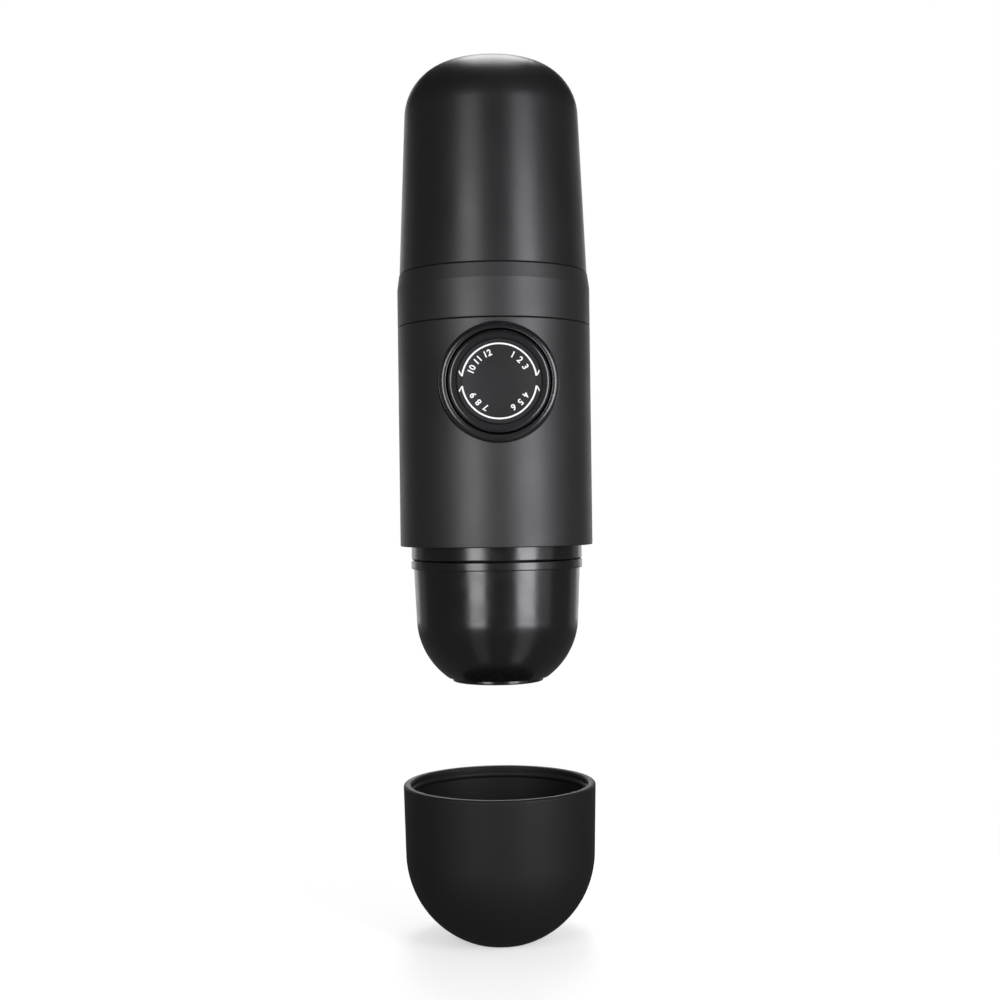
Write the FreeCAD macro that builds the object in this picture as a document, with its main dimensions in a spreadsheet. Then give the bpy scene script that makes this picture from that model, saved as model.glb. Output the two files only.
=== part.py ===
"""Hand-held espresso maker: water tank, barrel with a bayonet push pump, brew head, basket, outlet and cup.

The long axis is Z, with the table at z = 0 and the foot of the cup at the origin. The push knob faces -Y.
Parts of the pump are drawn about the pump's own axis, which runs along Y at pump_height.
"""
import FreeCAD, Part
import Sketcher

import math
import os

DIMENSIONS = {
    # fits and edges
    "fit": 0.1,
    "seam_gap": 0.1,
    "edge_break": 0.35,
    # barrel
    "shell_radius": 31.0,
    "shell_wall": 2.4,
    "shell_bottom": 127.0,
    "shell_top": 197.1,
    # collar and tank neck
    "collar_top": 214.0,
    "collar_top_radius": 30.4,
    "collar_flare": 4.7,
    "collar_bore": 28.0,
    "collar_tongue": 1.1,
    "neck_radius": 26.6,
    "neck_bore": 24.2,
    "neck_top": 223.0,
    "neck_floor": 206.0,
    "neck_floor_thickness": 3.0,
    "vent_hole": 1.4,
    "feed_hole": 2.6,
    # tank
    "tank_bottom": 214.1,
    "tank_height": 68.0,
    "tank_foot_radius": 30.2,
    "tank_taper": 2.49,
    "tank_corner": 17.5,
    "tank_flat": 10.5,
    "tank_wall": 2.0,
    "tank_mouth": 27.6,
    "seal_ledge_bore": 25.8,
    "seal_ledge_height": 225.0,
    "seal_ledge_thickness": 3.5,
    # knob and its guide
    "pump_height": 177.3,
    "pump_stroke": 18.0,
    "knob_radius": 15.6,
    "knob_face_depth": 34.2,
    "knob_length": 25.0,
    "knob_wall": 1.6,
    "knob_edge": 1.2,
    "knob_web": 4.0,
    "face_recess": 13.0,
    "face_thickness": 1.4,
    "dish_radius": 10.9,
    "dish_curve": 80.0,
    "guide_bore": 16.0,
    "guide_radius": 18.3,
    "guide_front": 33.4,
    "guide_back": 6.0,
    "bezel_round": 1.7,
    "lug_radius": 17.0,
    "lug_length": 3.0,
    "lug_angle": 13.0,
    "lock_angle": 60.0,
    # pump cylinder and piston
    "cylinder_bore": 7.0,
    "cylinder_radius": 9.2,
    "cylinder_end": 20.5,
    "piston_tip": 17.5,
    "piston_land": 1.0,
    "seal_spacing": 2.4,
    "seal_width": 1.2,
    "seal_depth": 1.0,
    "rod_radius": 3.0,
    "rod_front": 2.7,
    "rod_shoulder": 8.1,
    "knob_screw_radius": 1.2,
    "flange_screw_radius": 0.8,
    "spring_wire": 0.65,
    "spring_radius": 11.2,
    "spring_turns": 6.5,
    # valve column, with heights above and depths below the pump's axis
    "valve_offset": 19.0,
    "column_radius": 6.4,
    "column_plug": 5.0,
    "column_socket": 5.15,
    "column_top": 24.2,
    "column_bottom": 24.3,
    "upper_oring": 22.2,
    "lower_oring": 22.3,
    "oring_radius": 4.58,
    "oring_wire": 0.56,
    "oring_groove": 4.0,
    "oring_groove_width": 1.2,
    "ball_radius": 2.2,
    "valve_port": 1.3,
    "valve_bore": 3.0,
    "inlet_seat_edge": 18.5,
    "inlet_chamber_foot": 11.7,
    "outlet_seat_edge": 10.8,
    "retainer_top": 20.1,
    "valve_wire": 0.25,
    "valve_spring_radius": 1.7,
    "valve_spring_turns": 3,
    # brew head
    "socket_radius": 27.5,
    "socket_bore": 24.7,
    "socket_bottom": 122.55,
    "socket_edge": 0.6,
    "chamber_radius": 20.6,
    "chamber_top": 139.0,
    "screen_seat": 136.6,
    "roof_top": 143.5,
    "screen_screw_radius": 1.25,
    # outlet head
    "bowl_top_radius": 26.8,
    "bowl_radius": 26.1,
    "bowl_arc": 24.0,
    "bowl_arc_height": 104.0,
    "bowl_wall": 2.0,
    "bowl_end": 84.6,
    "lip_bottom": 83.3,
    "lip_radius": 14.6,
    "mouth_radius": 12.9,
    "band_radius": 27.6,
    "band_bottom": 119.7,
    "band_top": 122.4,
    "thread_radius": 23.6,
    "thread_top": 131.6,
    "head_bore": 21.9,
    "spout_radius": 4.2,
    "spout_bottom": 93.0,
    # basket and screen
    "basket_rim": 23.5,
    "basket_radius": 20.8,
    "basket_floor": 116.0,
    "sheet_metal": 0.6,
    "basket_hole": 0.6,
    "basket_pitch": 3.9,
    "screen_hole": 0.6,
    "screen_pitch": 4.6,
    # cup
    "cup_height": 50.3,
    "cup_rim_radius": 31.0,
    "cup_ball_radius": 30.5,
    "cup_foot_radius": 11.0,
    "cup_wall": 2.4,
    "cup_rim_round": 0.8,
    "cup_bead": 1.06,
    "cup_bead_height": 2.0,
}
FULL_TURN = 360
PARTS = "parts"
NOUGHT = 1e-9

doc = FreeCAD.newDocument("espresso_maker")


class Size:
    """A length or angle that knows its value and the sheet expression that drives it."""

    def __init__(self, value, text=None):
        self.value = float(value)
        self.text = text or repr(self.value)

    def joined(self, other, sign, value):
        return Size(value, f"({self.text} {sign} {other.text})")

    def __add__(self, other):
        other = as_size(other)
        return self.joined(other, "+", self.value + other.value)

    def __radd__(self, other):
        return as_size(other) + self

    def __sub__(self, other):
        other = as_size(other)
        return self.joined(other, "-", self.value - other.value)

    def __rsub__(self, other):
        return as_size(other) - self

    def __mul__(self, other):
        other = as_size(other)
        return self.joined(other, "*", self.value * other.value)

    def __truediv__(self, other):
        other = as_size(other)
        return self.joined(other, "/", self.value / other.value)

    def __neg__(self):
        return Size(-self.value, f"(0 - {self.text})")


def as_size(number):
    return number if isinstance(number, Size) else Size(number)


def leg(hypotenuse, other_leg):
    """The third side of a right-angled triangle."""
    square = hypotenuse * hypotenuse - other_leg * other_leg
    return Size(math.sqrt(square.value), f"sqrt({square.text})")


def cosine(angle):
    return Size(math.cos(math.radians(angle.value)), f"cos({angle.text})")


def sine(angle):
    return Size(math.sin(math.radians(angle.value)), f"sin({angle.text})")


def fill_sheet():
    """The driving dimensions, in millimetres and degrees, one row each with its name and its alias."""
    sheet = doc.addObject("Spreadsheet::Sheet", "Dim")
    for row, (alias, value) in enumerate(DIMENSIONS.items(), start=1):
        sheet.set(f"A{row}", alias)
        sheet.set(f"B{row}", str(value))
        sheet.setAlias(f"B{row}", alias)
    doc.recompute()
    return {alias: Size(value, f"Dim.{alias}") for alias, value in DIMENSIONS.items()}


D = fill_sheet()


# ---- drawing helpers -------------------------------------------------------------------------------------

def new_body(label):
    body = doc.addObject("PartDesign::Body", label)
    body.Label = label
    return body


def pump_body_at_axis(label):
    """A body drawn about the pump's axis: its own XY plane lies at the height of that axis."""
    body = new_body(label)
    body.setExpression("Placement.Base.z", D["pump_height"].text)
    return body


def new_sketch(body, plane, offset=0.0, turn=0.0):
    """A sketch on one of the body's own planes, moved along its normal or turned about its first axis."""
    sketch = body.newObject("Sketcher::SketchObject", f"{body.Name}_sketch")
    origin_plane = next(item for item in body.Origin.OriginFeatures if item.Role == plane)
    sketch.AttachmentSupport = [(origin_plane, "")]
    sketch.MapMode = "FlatFace"
    offset = as_size(offset)
    tilt = FreeCAD.Rotation(FreeCAD.Vector(1, 0, 0), turn)
    sketch.AttachmentOffset = FreeCAD.Placement(FreeCAD.Vector(0, 0, offset.value), tilt)
    sketch.setExpression("AttachmentOffset.Base.z", offset.text)
    return sketch


def hold(sketch, kind, *references, size=None):
    """Add one constraint, driven by the size's expression when it has one."""
    if size is None:
        return sketch.addConstraint(Sketcher.Constraint(kind, *references))
    index = sketch.addConstraint(Sketcher.Constraint(kind, *references, size.value))
    sketch.setExpression(f"Constraints[{index}]", size.text)
    return index


def hold_point(sketch, edge, end, across, up):
    """Pin one end of an edge at (across, up), on the sketch's own axes where a distance is nought."""
    for kind, axis, size in (("DistanceX", -2, across), ("DistanceY", -1, up)):
        if abs(size.value) < NOUGHT:
            hold(sketch, "PointOnObject", edge, end, axis)
        else:
            hold(sketch, kind, -1, 1, edge, end, size=size)


def draw_outline(sketch, corners):
    """A closed outline. A corner is (across, up) or (across, up, bend): bend is the radius of the arc to the
    next corner, positive when the arc turns left and negative when it turns right."""
    count = len(corners)
    starts, ends = [], []
    for index, corner in enumerate(corners):
        first = [as_size(number) for number in corner]
        second = [as_size(number) for number in corners[(index + 1) % count]]
        a = FreeCAD.Vector(first[0].value, first[1].value, 0)
        b = FreeCAD.Vector(second[0].value, second[1].value, 0)
        if len(corner) == 2:
            edge = sketch.addGeometry(Part.LineSegment(a, b))
            starts.append((edge, 1))
            ends.append((edge, 2))
            continue
        bend = first[2]
        edge = sketch.addGeometry(arc_between(a, b, bend.value))
        left = bend.value > 0
        starts.append((edge, 1 if left else 2))
        ends.append((edge, 2 if left else 1))
        hold(sketch, "Radius", edge, size=bend if left else -bend)
    for index, corner in enumerate(corners):
        hold(sketch, "Coincident", *ends[index - 1], *starts[index])
        hold_point(sketch, *starts[index], as_size(corner[0]), as_size(corner[1]))


def arc_between(a, b, bend):
    """The short arc from a to b with radius |bend|, its centre on the left of the way there if bend > 0."""
    middle = (a + b) * 0.5
    chord = b - a
    rise = math.sqrt(max(bend * bend - chord.Length ** 2 / 4, 0))
    left = FreeCAD.Vector(-chord.y, chord.x, 0).normalize()
    centre = middle + left * math.copysign(rise, bend)
    start, end = (a, b) if bend > 0 else (b, a)
    circle = Part.Circle(centre, FreeCAD.Vector(0, 0, 1), abs(bend))
    return Part.ArcOfCircle(circle, angle_of(start - centre), angle_of(end - centre))


def angle_of(vector):
    return math.atan2(vector.y, vector.x)


def turned(body, corners, about, cut=False, sweep=FULL_TURN, start=0.0, offset=0.0):
    """Turn an outline drawn in the body's YZ plane.

    about is "tall" for the Z axis or "pump" for the Y axis; offset moves a tall axis to that Y."""
    sketch = new_sketch(body, "YZ_Plane", turn=start)
    offset = as_size(offset)
    draw_outline(sketch, corners)
    axis = "V_Axis" if about == "tall" else "H_Axis"
    if offset.value:
        line = sketch.addGeometry(Part.LineSegment(vector(offset, -1), vector(offset, 1)), True)
        hold_point(sketch, line, 1, offset, as_size(-1))
        hold_point(sketch, line, 2, offset, as_size(1))
        axis = "Axis0"
    kind = "PartDesign::Groove" if cut else "PartDesign::Revolution"
    feature = body.newObject(kind, f"{body.Name}_turn")
    feature.Profile = sketch
    feature.ReferenceAxis = (sketch, [axis])
    feature.Angle = as_size(sweep).value
    feature.setExpression("Angle", as_size(sweep).text)
    finish_feature(feature, removes=cut)
    return feature


def vector(across, up):
    return FreeCAD.Vector(as_size(across).value, as_size(up).value, 0)


def finish_feature(feature, removes):
    """Recompute, and stop if the feature changed nothing, which is how a cut that misses shows itself."""
    before = feature.BaseFeature.Shape.Volume if feature.BaseFeature else 0.0
    doc.recompute()
    change = feature.Shape.Volume - before
    works = change < 0 if removes else change > 0
    if not works:
        raise SystemExit(f"{feature.Name} changed the volume by {change:.3f}")


def round_column(body, places, radius, bottom, top, cut=False, plane="XY_Plane"):
    """Round pads or pockets of one radius, at each (across, up), from bottom to top along the normal."""
    bottom, top = as_size(bottom), as_size(top)
    sketch = new_sketch(body, plane, offset=top if cut else bottom)
    for place in places:
        across, up = (as_size(number) for number in place)
        circle = Part.Circle(vector(across, up), FreeCAD.Vector(0, 0, 1), as_size(radius).value)
        edge = sketch.addGeometry(circle)
        hold(sketch, "Radius", edge, size=as_size(radius))
        hold_point(sketch, edge, 3, across, up)
    return extrude(body, sketch, top - bottom, cut)


def extrude(body, sketch, length, cut):
    kind = "PartDesign::Pocket" if cut else "PartDesign::Pad"
    feature = body.newObject(kind, f"{body.Name}_{'pocket' if cut else 'pad'}")
    feature.Profile = sketch
    feature.Length = length.value
    feature.setExpression("Length", length.text)
    finish_feature(feature, removes=cut)
    return feature


def repeat_about(body, features, plane_axis, count):
    """Repeat features evenly about one of the body's own axes."""
    pattern = body.newObject("PartDesign::PolarPattern", f"{body.Name}_pattern")
    axis = next(item for item in body.Origin.OriginFeatures if item.Role == plane_axis)
    pattern.Originals = features
    pattern.Axis = (axis, [""])
    pattern.Angle = FULL_TURN
    pattern.Occurrences = count
    body.Tip = pattern
    doc.recompute()
    return pattern


def hex_places(rings, pitch, skip_centre=False):
    """Centres of a hexagonal grid of holes, ring by ring from the middle."""
    sides = 6
    side_turn = 2 * math.pi / sides
    places = [] if skip_centre else [(0.0, 0.0)]
    for ring in range(1, rings + 1):
        for side in range(sides):
            corner = side_turn * side
            following = corner + 2 * side_turn
            for step in range(ring):
                across = ring * math.cos(corner) + step * math.cos(following)
                up = ring * math.sin(corner) + step * math.sin(following)
                places.append((pitch * tidy(across), pitch * tidy(up)))
    return places


def tidy(number):
    return 0.0 if abs(number) < NOUGHT else number


def tidy_size(size):
    return size if abs(size.value) > NOUGHT else Size(0)


def ring_along_pump(front, back, inner, outer):
    """A rectangular section for turning about the pump's axis."""
    return [(front, inner), (back, inner), (back, outer), (front, outer)]


# ---- tank, collar and neck -------------------------------------------------------------------------------

def tank_outline(inset):
    """Outer side of the tank's section, moved inwards by inset: shoulder point, top and corner radius."""
    corner = D["tank_corner"] - inset
    top = D["tank_bottom"] + D["tank_height"]
    centre_height = top - D["tank_corner"]
    shoulder = D["tank_flat"] + corner * cosine(D["tank_taper"])
    shoulder_height = centre_height + corner * sine(D["tank_taper"])
    return shoulder, shoulder_height, top - inset, corner


def make_tank():
    """Domed tank with a slight taper, open below, with a ledge in its threaded mouth that holds the seal."""
    body = new_body("tank")
    shoulder, shoulder_height, top, corner = tank_outline(Size(0))
    inner_shoulder, inner_height, ceiling, inner_corner = tank_outline(D["tank_wall"])
    bottom, mouth, edge = D["tank_bottom"], D["tank_mouth"], D["edge_break"]
    ledge, ledge_bore = D["seal_ledge_height"], D["seal_ledge_bore"]
    ledge_top = ledge + D["seal_ledge_thickness"]
    ramp, draft = 2.5, 0.3
    turned(body, [
        (0, ceiling),
        (D["tank_flat"], ceiling, -inner_corner),
        (inner_shoulder, inner_height),
        (mouth - draft, ledge_top + ramp),
        (ledge_bore, ledge_top),
        (ledge_bore, ledge),
        (mouth, ledge),
        (mouth, bottom),
        (D["tank_foot_radius"] - edge, bottom, edge),
        (D["tank_foot_radius"], bottom + edge),
        (shoulder, shoulder_height, corner),
        (D["tank_flat"], top),
        (0, top),
    ], "tall")
    return body


def make_tank_seal():
    """Flat ring between the tank's ledge and the rim of the neck."""
    body = new_body("tank_seal")
    bottom = D["neck_top"] + D["fit"]
    top = D["seal_ledge_height"] - D["fit"] / 2
    bevel = 0.4
    inner = D["neck_bore"] + bevel
    outer = D["tank_mouth"] - D["fit"] * 2
    turned(body, [
        (inner, bottom + bevel),
        (inner + bevel, bottom),
        (outer - bevel, bottom),
        (outer, bottom + bevel),
        (outer, top),
        (inner, top),
    ], "tall")
    return body


def make_collar():
    """Ring between tank and barrel, flared near its top, with a tongue that plugs into the barrel."""
    body = new_body("collar")
    bottom, top = D["shell_top"] + D["seam_gap"], D["collar_top"]
    outer, top_radius = D["shell_radius"], D["collar_top_radius"]
    bore, edge = D["collar_bore"], D["edge_break"]
    tongue = outer - D["shell_wall"] - D["fit"]
    tongue_bottom = bottom - D["collar_tongue"]
    turned(body, [
        (bore, tongue_bottom),
        (tongue, tongue_bottom),
        (tongue, bottom),
        (outer - edge, bottom, edge),
        (outer, bottom + edge),
        (outer, top - D["collar_flare"]),
        (top_radius, top - edge, edge),
        (top_radius - edge, top),
        (bore, top),
    ], "tall")
    return body


def make_tank_spigot():
    """Threaded neck and floor under the tank, with a socket below the floor for the pump's inlet column."""
    body = new_body("tank_spigot")
    floor = D["neck_floor"]
    underside = floor - D["neck_floor_thickness"]
    flange, flange_top = D["collar_bore"] - D["fit"], D["collar_top"] - D["fit"]
    neck, bore, top = D["neck_radius"], D["neck_bore"], D["neck_top"]
    rim_bevel, floor_round = 0.8, 2.0
    turned(body, [
        (0, underside),
        (flange, underside),
        (flange, flange_top),
        (neck, flange_top),
        (neck, top - rim_bevel),
        (neck - rim_bevel, top),
        (bore, top),
        (bore, floor + floor_round, -floor_round),
        (bore - floor_round, floor),
        (0, floor),
    ], "tall")
    feed = [(0, D["valve_offset"])]
    vent = [(0, vent_offset())]
    socket_depth = 5.4
    round_column(body, feed, D["column_radius"], underside - socket_depth, underside)
    round_column(body, feed, D["column_socket"], underside - socket_depth, underside, cut=True)
    round_column(body, feed, D["feed_hole"], underside, floor, cut=True)
    round_column(body, vent, D["vent_hole"], underside, floor, cut=True)
    return body


def vent_offset():
    """Where the air valve sits in the neck's floor, on the knob's side of the axis."""
    return -D["valve_offset"] / 2


def make_inlet_filter():
    """Fine strainer over the hole that feeds the pump."""
    body = new_body("inlet_filter")
    floor, offset = D["neck_floor"], D["valve_offset"]
    radius, thickness = 3.1, 0.8
    hole, pitch = 0.5, 1.7
    round_column(body, [(0, offset)], radius, floor, floor + thickness)
    holes = [(across, offset + up) for across, up in hex_places(1, pitch)]
    round_column(body, holes, hole, floor, floor + thickness, cut=True)
    return body


def make_air_valve():
    """Umbrella valve that lets air into the tank as the water leaves it."""
    body = new_body("air_valve")
    floor, offset = D["neck_floor"], vent_offset()
    underside = floor - D["neck_floor_thickness"]
    stem, barb, tip = D["vent_hole"], 2.0, 0.9
    tip_length, barb_land = 1.4, 0.1
    cap, cap_edge, cap_rise, cap_curve = 4.2, 0.5, 1.5, 7.0
    crown = 0.6
    turned(body, [
        (offset, underside - tip_length),
        (offset + tip, underside - tip_length),
        (offset + barb, underside - barb_land),
        (offset + stem, underside),
        (offset + stem, floor),
        (offset + cap, floor),
        (offset + cap, floor + cap_edge, cap_curve),
        (offset + crown, floor + cap_rise),
        (offset, floor + cap_rise),
    ], "tall", offset=offset)
    return body


# ---- barrel and knob -------------------------------------------------------------------------------------

def make_body_shell():
    """Barrel tube with rounded edges and the round hole that the knob's guide comes through."""
    body = new_body("body_shell")
    outer, inner = D["shell_radius"], D["shell_radius"] - D["shell_wall"]
    bottom, top, edge = D["shell_bottom"], D["shell_top"], D["edge_break"]
    turned(body, [
        (inner, bottom + edge, edge),
        (inner + edge, bottom),
        (outer - edge, bottom, edge),
        (outer, bottom + edge),
        (outer, top - edge, edge),
        (outer - edge, top),
        (inner, top),
    ], "tall")
    hole = D["guide_radius"] + D["fit"] * 2
    round_column(body, [(0, D["pump_height"])], hole, D["guide_back"], outer, cut=True, plane="XZ_Plane")
    return body


def make_knob_bezel():
    """Rounded ring proud of the barrel, drawn out inward as the knob's guide, with two bayonet grooves."""
    body = pump_body_at_axis("knob_bezel")
    front, back = -D["guide_front"], -D["guide_back"]
    bore, outer = D["guide_bore"], D["guide_radius"]
    rounding, inner_edge = D["bezel_round"], 0.4
    turned(body, [
        (back, bore),
        (back, outer),
        (front + rounding, outer, rounding),
        (front, outer - rounding),
        (front, bore + inner_edge, inner_edge),
        (front + inner_edge, bore),
    ], "pump")
    lug_room, slot_room, beyond = 0.3, 1.5, 1.0
    groove = D["lug_radius"] + lug_room
    half_slot = D["lug_angle"] / 2 + slot_room
    lock_front = -D["knob_face_depth"] + D["knob_length"] - D["lug_length"] - lug_room
    channel = ring_along_pump(lock_front - D["pump_stroke"], back + beyond, bore - beyond, groove)
    lock = ring_along_pump(lock_front, back + beyond, bore - beyond, groove)
    straight = turned(body, channel, "pump", cut=True, sweep=half_slot * 2, start=-half_slot.value)
    turn = turned(body, lock, "pump", cut=True, sweep=half_slot * 2 + D["lock_angle"], start=-half_slot.value)
    repeat_about(body, [straight, turn], "Y_Axis", 2)
    return body


def make_push_knob():
    """Button with a long skirt, a hub that turns on the rod's end, and two bayonet lugs."""
    body = pump_body_at_axis("push_knob")
    face = -D["knob_face_depth"]
    outer, edge = D["knob_radius"], D["knob_edge"]
    inner = outer - D["knob_wall"]
    back = face + D["knob_length"]
    recess, recess_edge = D["face_recess"], 0.2
    seat, web = face + D["face_thickness"], face + D["knob_web"]
    screw_well, screw_seat = 4.2, face + 2.8
    hub, hub_back, hub_round = 5.5, face + 8.0, 0.9
    hub_bore = D["rod_radius"] + D["fit"]
    skirt_round = 1.0
    turned(body, [
        (screw_seat, hub_bore),
        (screw_seat, screw_well),
        (seat, screw_well),
        (seat, recess),
        (face + recess_edge, recess),
        (face, recess + recess_edge),
        (face, outer - edge, -edge),
        (face + edge, outer),
        (back, outer),
        (back, inner),
        (web + skirt_round, inner, skirt_round),
        (web, inner - skirt_round),
        (web, hub + hub_round, hub_round),
        (web + hub_round, hub),
        (hub_back, hub),
        (hub_back, hub_bore),
    ], "pump")
    root = inner + D["knob_wall"] / 3
    lug = ring_along_pump(back - D["lug_length"], back, root, D["lug_radius"])
    lug_feature = turned(body, lug, "pump", sweep=D["lug_angle"], start=-D["lug_angle"].value / 2)
    repeat_about(body, [lug_feature], "Y_Axis", 2)
    return body


def make_knob_face():
    """Disc with a round dish for the thumb, which closes the front of the knob over its screw."""
    body = pump_body_at_axis("knob_face")
    face = -D["knob_face_depth"]
    rim, rim_bevel = D["face_recess"] - D["fit"], 0.2
    dish, curve = D["dish_radius"], D["dish_curve"]
    depth = curve - leg(curve, dish)
    turned(body, [
        (face + D["face_thickness"], 0),
        (face + D["face_thickness"], rim),
        (face + rim_bevel, rim),
        (face, rim - rim_bevel),
        (face, dish, -curve),
        (face + depth, 0),
    ], "pump")
    return body


def make_knob_screw():
    """Screw in the rod's end whose head keeps the knob on while letting it turn."""
    body = pump_body_at_axis("knob_screw")
    head = -D["knob_face_depth"] + 1.55
    shank, length = D["knob_screw_radius"], 9.5
    head_radius, head_height, head_bevel = 3.6, 1.15, 0.3
    drive, drive_depth = 1.1, 0.7
    turned(body, [
        (head + drive_depth, 0),
        (head + drive_depth, drive),
        (head, drive),
        (head, head_radius - head_bevel),
        (head + head_bevel, head_radius),
        (head + head_height, head_radius),
        (head + head_height, shank),
        (head + length, shank),
        (head + length, 0),
    ], "pump")
    return body


# ---- pump ------------------------------------------------------------------------------------------------

def seal_backs():
    """Where the back faces of the piston's two seals lie along the pump's axis."""
    first = D["piston_tip"] - D["piston_land"]
    return first, first - D["seal_spacing"]


def make_piston():
    """Rod with a shoulder for the knob's hub and a head with two seal grooves."""
    body = pump_body_at_axis("piston")
    rod, tip = D["rod_radius"], D["piston_tip"]
    front = -D["knob_face_depth"] + D["rod_front"]
    shoulder = -D["knob_face_depth"] + D["rod_shoulder"]
    head = D["cylinder_bore"] - D["fit"]
    groove, width = head - D["seal_depth"], D["seal_width"]
    first, second = seal_backs()
    head_length, end_bevel = 5.4, 0.3
    stop, stop_back, stop_taper = 4.6, shoulder + 1.6, 1.4
    turned(body, [
        (front, 0),
        (front, rod - end_bevel),
        (front + end_bevel, rod),
        (shoulder, rod),
        (shoulder, stop),
        (stop_back, stop),
        (stop_back + stop_taper, rod),
        (tip - head_length, rod),
        (tip - head_length, head),
        (second - width, head),
        (second - width, groove),
        (second, groove),
        (second, head),
        (first - width, head),
        (first - width, groove),
        (first, groove),
        (first, head),
        (tip, head),
        (tip, 0),
    ], "pump")
    thread_depth, beyond = 9.0, 1.0
    thread = ring_along_pump(front - beyond, front + thread_depth, 0, D["knob_screw_radius"])
    turned(body, thread, "pump", cut=True)
    return body


def make_piston_seals():
    """Two rings in the piston's grooves, as one group."""
    body = pump_body_at_axis("piston_seals")
    inner = D["cylinder_bore"] - D["fit"] - D["seal_depth"]
    outer = D["cylinder_bore"] - D["fit"] / 3
    sketch = new_sketch(body, "YZ_Plane")
    for back in seal_backs():
        draw_outline(sketch, ring_along_pump(back - D["seal_width"], back, inner, outer))
    body.AllowCompound = True
    rings = body.newObject("PartDesign::Revolution", "piston_seals_turn")
    rings.Profile = sketch
    rings.ReferenceAxis = (sketch, ["H_Axis"])
    doc.recompute()
    return body


def make_return_spring():
    """Coil spring between the inside of the knob and the flange of the pump body."""
    front = -D["knob_face_depth"] + D["knob_web"]
    wire = D["spring_wire"]
    length = -D["guide_back"] - front - wire * 2
    spring = coil("return_spring", D["spring_radius"], wire, length, D["spring_turns"])
    spring.setExpression("Placement.Base.y", (front + wire).text)
    spring.setExpression("Placement.Base.z", D["pump_height"].text)
    spring.Placement.Rotation = FreeCAD.Rotation(FreeCAD.Vector(0, 0, 1), FreeCAD.Vector(0, 1, 0))
    doc.recompute()
    return spring


def coil(label, radius, wire, length, turns):
    """A wire swept along a helix that stands on the XY plane."""
    helix = doc.addObject("Part::Helix", f"{label}_path")
    helix.setExpression("Radius", radius.text)
    helix.setExpression("Height", length.text)
    helix.setExpression("Pitch", (length / turns).text)
    section = doc.addObject("Part::Circle", f"{label}_wire")
    section.setExpression("Radius", wire.text)
    section.setExpression("Placement.Base.x", radius.text)
    section.Placement.Rotation = FreeCAD.Rotation(FreeCAD.Vector(1, 0, 0), 90)
    sweep = doc.addObject("Part::Sweep", label)
    sweep.Label = label
    sweep.Sections = [section]
    sweep.Spine = (helix, [])
    sweep.Solid = True
    sweep.Frenet = True
    doc.recompute()
    return sweep


def screw_places():
    """Centres of the four flange screws round the pump's axis, clear of the bayonet grooves."""
    angles = (110.0, 155.0, 290.0, 335.0)
    return [around_pump(angle, D["lug_radius"]) for angle in angles]


def around_pump(angle, radius):
    """The place at that angle, counted from straight up, on a circle in the XZ plane."""
    turn = Size(angle)
    return tidy_size(radius * sine(turn)), tidy_size(radius * cosine(turn))


def make_pump_body():
    """Pump cylinder with its flange, and the upright column that holds the inlet and outlet valves."""
    body = pump_body_at_axis("pump_body")
    back, end = -D["guide_back"], D["cylinder_end"]
    flange, cylinder = D["guide_radius"], D["cylinder_radius"]
    flange_thickness, fillet, end_wall, beyond = 3.0, 1.5, 3.0, 1.0
    turned(body, [
        (back, 0),
        (back, flange),
        (back + flange_thickness, flange),
        (back + flange_thickness, cylinder + fillet, fillet),
        (back + flange_thickness + fillet, cylinder),
        (end + end_wall, cylinder),
        (end + end_wall, 0),
    ], "pump")
    add_valve_column(body)
    turned(body, ring_along_pump(back - beyond, end, 0, D["cylinder_bore"]), "pump", cut=True)
    cut_valve_bores(body)
    hole_depth, hole_end = 0.5, D["guide_back"] + 0.5
    round_column(body, screw_places(), D["flange_screw_radius"],
                 D["guide_back"] - flange_thickness - hole_depth, hole_end, cut=True, plane="XZ_Plane")
    return body


def add_valve_column(body):
    """The column's turned outside: thick in the middle, with a grooved plug at each end."""
    offset = D["valve_offset"]
    thick, plug, groove = offset + D["column_radius"], offset + D["column_plug"], offset + D["oring_groove"]
    half_groove = D["oring_groove_width"] / 2
    upper, lower = D["upper_oring"], -D["lower_oring"]
    top, bottom = D["column_top"], -D["column_bottom"]
    plug_below, taper_foot, taper_top = -20.2, 14.2, 20.1
    turned(body, [
        (offset, bottom),
        (plug, bottom),
        (plug, lower - half_groove),
        (groove, lower - half_groove),
        (groove, lower + half_groove),
        (plug, lower + half_groove),
        (plug, plug_below),
        (thick, plug_below),
        (thick, taper_foot),
        (plug, taper_top),
        (plug, upper - half_groove),
        (groove, upper - half_groove),
        (groove, upper + half_groove),
        (plug, upper + half_groove),
        (plug, top),
        (offset, top),
    ], "tall", offset=offset)


def cut_valve_bores(body):
    """The port right through the column, and the two chambers that hold the balls and their springs."""
    column = [(0, D["valve_offset"])]
    above, below = D["column_top"] + 1.0, -D["column_bottom"] - 1.0
    round_column(body, column, D["valve_port"], below, above, cut=True)
    round_column(body, column, D["valve_bore"], D["inlet_chamber_foot"], above, cut=True)
    round_column(body, column, D["valve_bore"], below, -D["outlet_seat_edge"], cut=True)


def make_bezel_screws():
    """Four screws from behind that clamp the knob's guide to the pump body's flange, as one group."""
    body = pump_body_at_axis("bezel_screws")
    body.AllowCompound = True
    back, grip = D["guide_back"], 3.0
    head_radius, head_height = 1.3, 1.2
    round_column(body, screw_places(), head_radius, back - grip - head_height, back - grip, plane="XZ_Plane")
    round_column(body, screw_places(), D["flange_screw_radius"], back - grip, back, plane="XZ_Plane")
    return body


# ---- valves ----------------------------------------------------------------------------------------------

def ball_height(seat_edge):
    """The height of the ball's centre when it closes the port above it, with a hair of clearance."""
    clearance = 0.04
    return seat_edge - leg(D["ball_radius"], D["valve_port"]) - clearance


def inlet_ball_height():
    return ball_height(D["pump_height"] + D["inlet_seat_edge"])


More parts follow.
